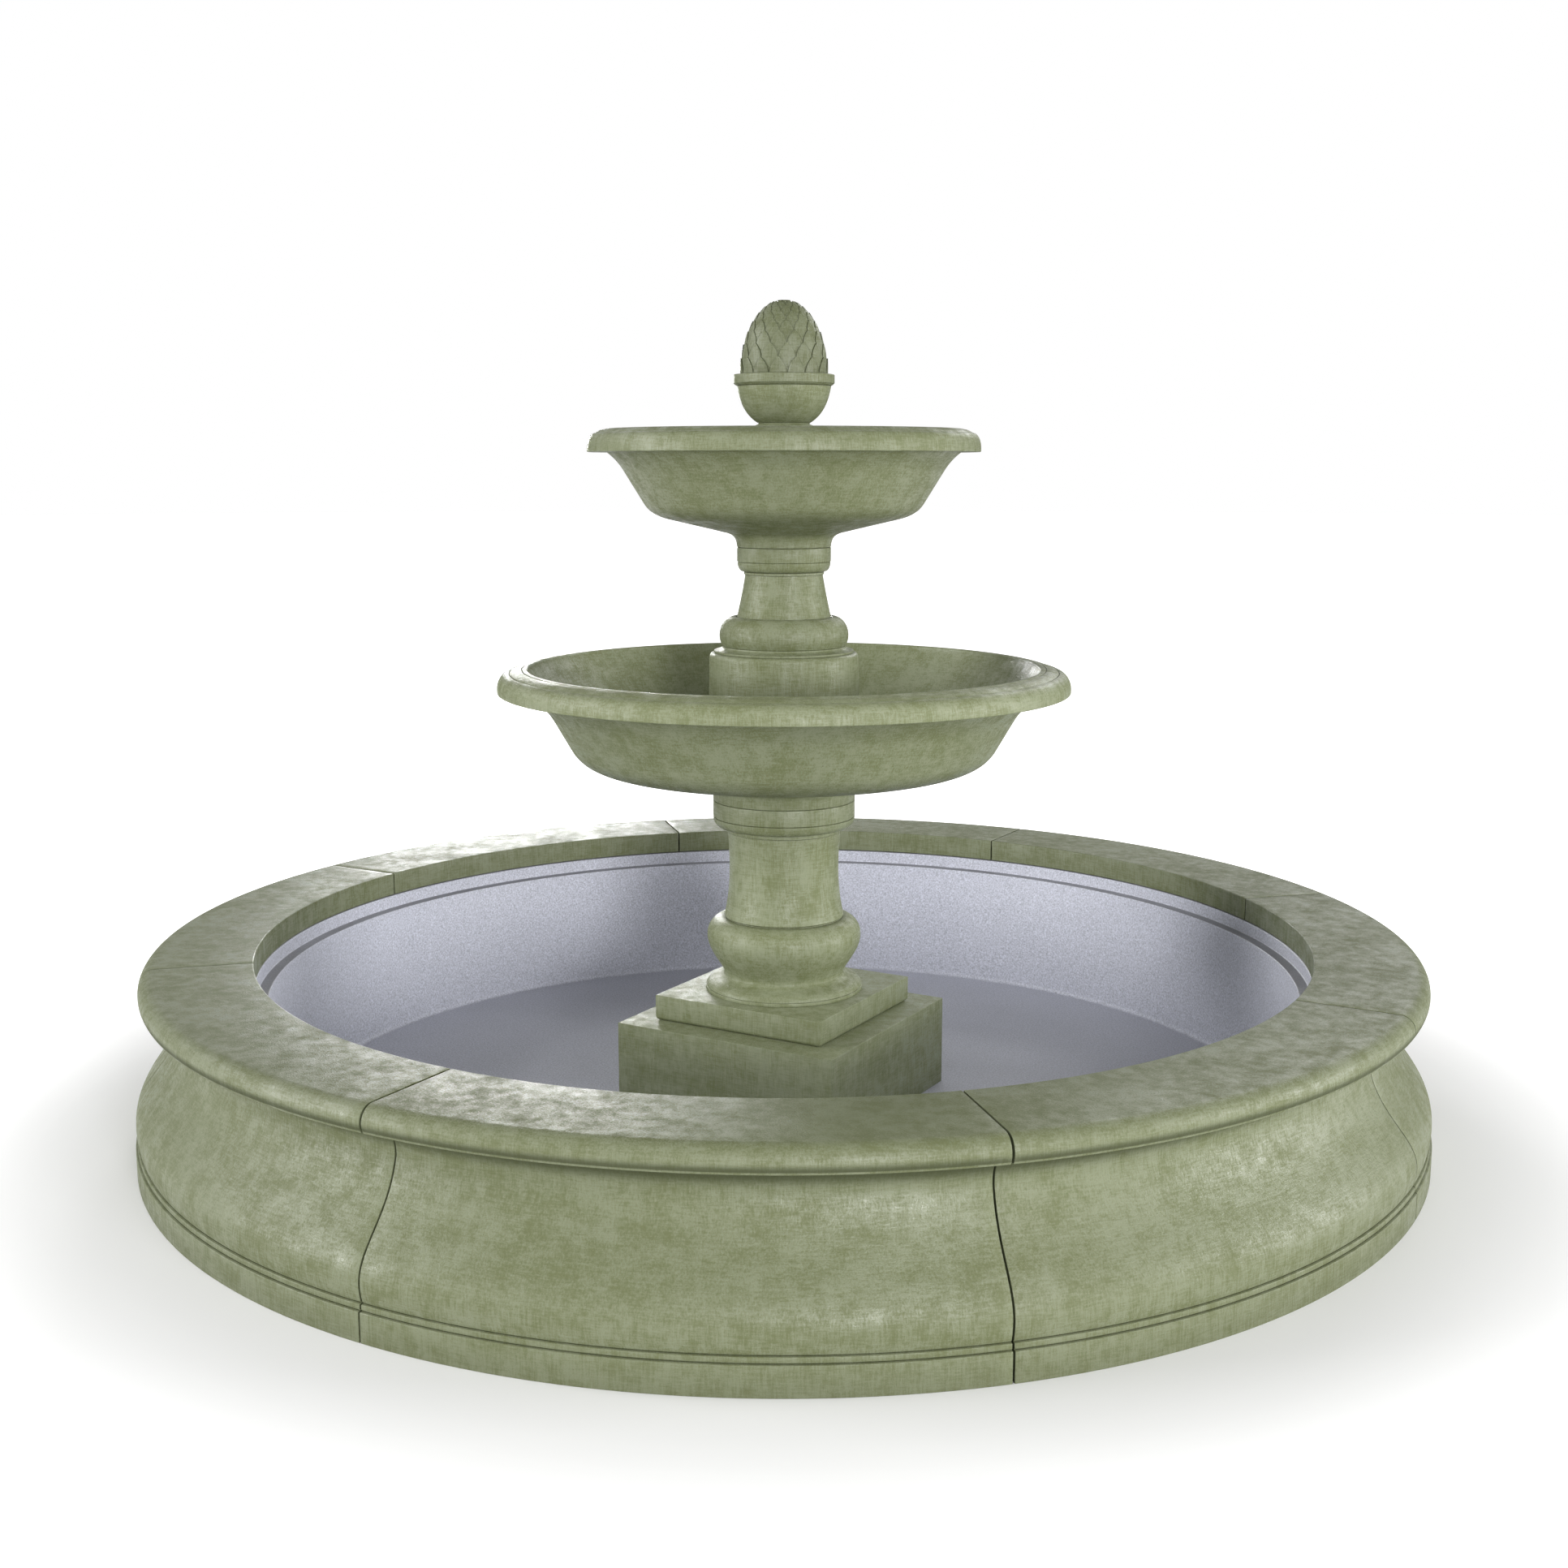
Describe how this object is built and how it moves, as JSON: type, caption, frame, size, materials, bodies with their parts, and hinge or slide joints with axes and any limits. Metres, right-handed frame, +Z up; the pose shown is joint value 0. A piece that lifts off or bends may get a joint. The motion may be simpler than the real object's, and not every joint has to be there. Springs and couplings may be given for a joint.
{
  "type": "tiered garden fountain",
  "caption": "Tiered cast-stone garden fountain: scaled finial over bowls on turned pedestals, in a round pool of ogee wall stones and bullnose coping",
  "frame": {"origin": "on the ground, on the fountain's vertical axis", "axes": "+Z up; the plinth's faces and four of the pool's stone joints lie along X and Y; the pump door faces +Y"},
  "size_m": [3.044, 3.044, 1.93],
  "materials": {
    "cast_stone": "mottled sage-green cast stone, satin sealed",
    "liner": "cool grey moulded liner with a fine pebbled surface",
    "steel": "brushed stainless steel",
    "rubber": "black rubber",
    "brass": "aged brass",
    "white_pipe": "white pipe plastic",
    "pump_plastic": "black moulded plastic",
    "pump_impeller": "pale moulded plastic",
    "shaft_ceramic": "white ceramic",
    "red_handle": "red moulded plastic"
  },
  "bodies": {
    "fountain": {"coping_stone_1": "cast_stone", "coping_stone_2": "cast_stone", "coping_stone_3": "cast_stone", "coping_stone_4": "cast_stone", "coping_stone_5": "cast_stone", "coping_stone_6": "cast_stone", "coping_stone_7": "cast_stone", "coping_stone_8": "cast_stone", "wall_segment_1": "cast_stone", "wall_segment_2": "cast_stone", "wall_segment_3": "cast_stone", "wall_segment_4": "cast_stone", "wall_segment_5": "cast_stone", "wall_segment_6": "cast_stone", "wall_segment_7": "cast_stone", "wall_segment_8": "cast_stone", "segment_straps": "steel", "strap_bolts": "steel", "floor_mat": "rubber", "pool_liner": "liner", "plinth": "cast_stone", "plinth_slab": "cast_stone", "lower_pedestal": "cast_stone", "lower_bowl": "cast_stone", "pedestal_drum": "cast_stone", "upper_pedestal": "cast_stone", "upper_bowl": "cast_stone", "finial_block": "cast_stone", "finial": "cast_stone", "outlet_nozzle": "brass", "riser_pipe_lower": "white_pipe", "riser_pipe_upper": "white_pipe", "pipe_coupling": "white_pipe", "lower_bowl_seal": "rubber", "upper_bowl_seal": "rubber", "setting_pads": "rubber", "pump_housing": "pump_plastic", "pump_volute": "pump_plastic", "pump_strainer": "pump_plastic", "pump_bushes": "rubber", "pump_seal_ring": "rubber", "pump_feet": "rubber", "cable_gland": "pump_plastic", "valve_body": "white_pipe", "valve_collars": "steel", "drain_fitting": "white_pipe", "drain_gasket": "rubber"},
    "pump_spindle": {"impeller": "pump_impeller", "pump_rotor": "steel", "pump_shaft": "shaft_ceramic"},
    "valve_stem": {"valve_ball": "steel", "valve_handle": "red_handle"},
    "door": {"pump_door": "cast_stone", "door_pull": "brass"},
    "plug": {"drain_plug": "rubber"}
  },
  "joints": [
    {"name": "impeller_spin", "type": "hinge", "parent": "fountain", "child": "pump_spindle", "pos_m": [0, 0, 0.066], "axis": [1, 0, 0], "continuous": true},
    {"name": "valve_turn", "type": "hinge", "parent": "fountain", "child": "valve_stem", "pos_m": [0, 0, 0.14], "axis": [0, 1, 0], "range_deg": [0, 90]},
    {"name": "door_slide", "type": "slide", "parent": "fountain", "child": "door", "axis": [0, 1, 0], "range_m": [0, 0.2]},
    {"name": "drain_plug_lift", "type": "slide", "parent": "fountain", "child": "plug", "axis": [0, 0, 1], "range_m": [0, 0.06]}
  ]
}
